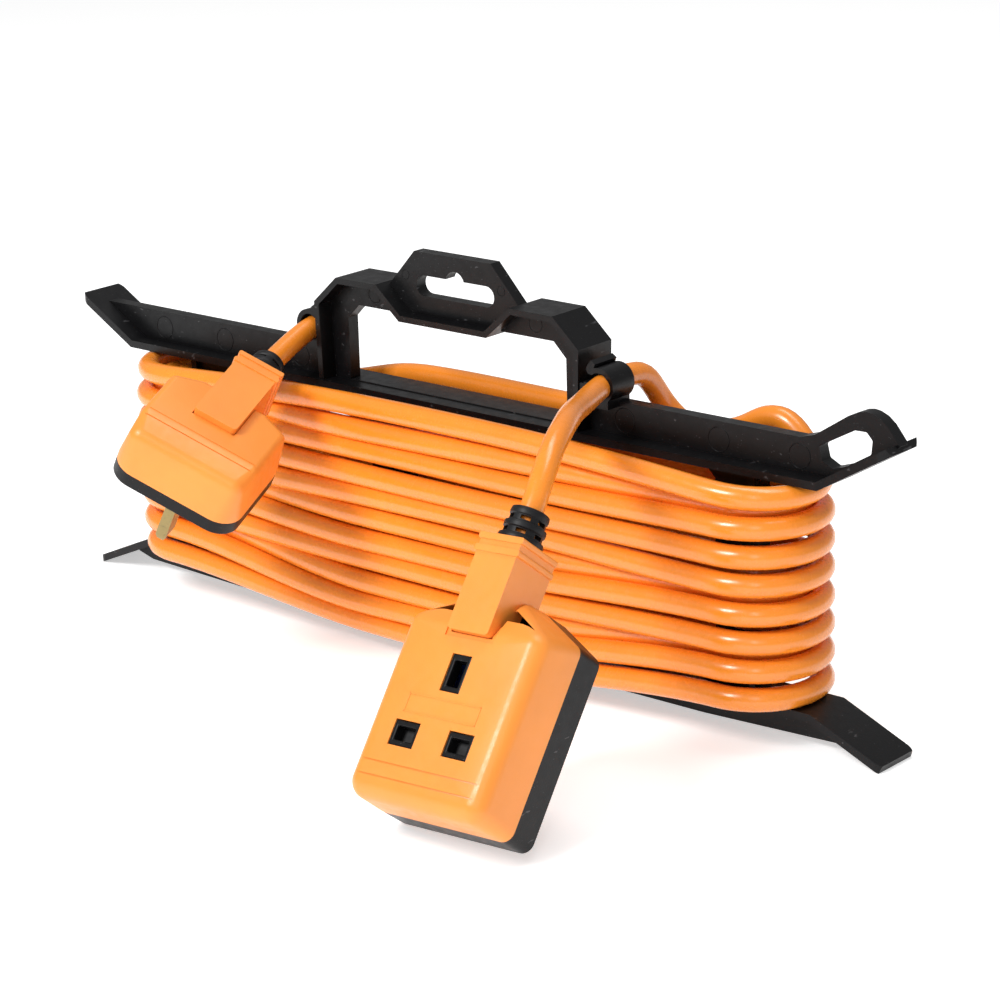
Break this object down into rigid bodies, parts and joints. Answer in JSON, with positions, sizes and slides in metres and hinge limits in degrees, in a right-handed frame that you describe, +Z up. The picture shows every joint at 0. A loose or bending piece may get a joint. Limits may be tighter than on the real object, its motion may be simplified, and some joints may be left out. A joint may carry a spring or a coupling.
{
  "type": "extension lead on carrier frame",
  "caption": "Mains extension lead wound on a flat H-shaped carrier with a carrying handle, a fused three-pin plug and a single three-pin trailing socket.",
  "frame": {"origin": "on the floor under the middle of the carrier frame, at mid-width between its four feet", "axes": "+X along the frame from the plug clip to the socket clip, +Y across the frame away from the socket and plug, +Z up"},
  "size_m": [0.3786, 0.1894, 0.1482],
  "materials": {
    "black_plastic": "satin, fine moulded grain",
    "orange_plastic": "satin, fine spark texture",
    "cable_sheath": "smooth satin PVC sheath",
    "black_rubber": "satin",
    "shutter_plastic": "satin",
    "brass": "dull, lightly tarnished",
    "steel": "zinc plated",
    "fuse_ceramic": "glazed ceramic",
    "brown_core": "smooth PVC",
    "blue_core": "smooth PVC",
    "earth_core": "green and yellow PVC"
  },
  "bodies": {
    "lead": {"carrier_frame": "black_plastic", "cable_winding": "cable_sheath", "socket_lead": "cable_sheath", "plug_lead": "cable_sheath", "socket_cover": "orange_plastic", "socket_back": "black_plastic", "socket_cord_grip": "orange_plastic", "socket_boot": "black_rubber", "socket_insert": "black_plastic", "shutter_spring": "steel", "socket_line_contact": "brass", "socket_neutral_contact": "brass", "socket_earth_contact": "brass", "socket_terminal_screws": "steel", "socket_cord_clamp": "black_plastic", "socket_clamp_screws": "steel", "socket_cover_screws": "steel", "socket_line_core": "brown_core", "socket_neutral_core": "blue_core", "socket_earth_core": "earth_core", "plug_cover": "orange_plastic", "plug_base": "black_plastic", "plug_cord_grip": "orange_plastic", "plug_boot": "black_rubber", "earth_pin": "brass", "line_pin": "brass", "neutral_pin": "brass", "pin_sleeves": "black_plastic", "fuse": "fuse_ceramic", "fuse_clips": "brass", "plug_terminal_screws": "steel", "plug_cord_clamp": "black_plastic", "plug_clamp_screws": "steel", "plug_cover_screws": "steel", "plug_line_core": "brown_core", "plug_neutral_core": "blue_core", "plug_earth_core": "earth_core"},
    "shutter": {"socket_shutter": "shutter_plastic"}
  },
  "joints": [
    {"name": "shutter_slide", "type": "slide", "parent": "lead", "child": "shutter", "axis": [0.0412, -0.6157, -0.7869], "range_m": [0, 0.0055], "stiffness_N_per_m": 150, "springref_m": -0.002, "deforming": ["shutter_spring"]}
  ]
}
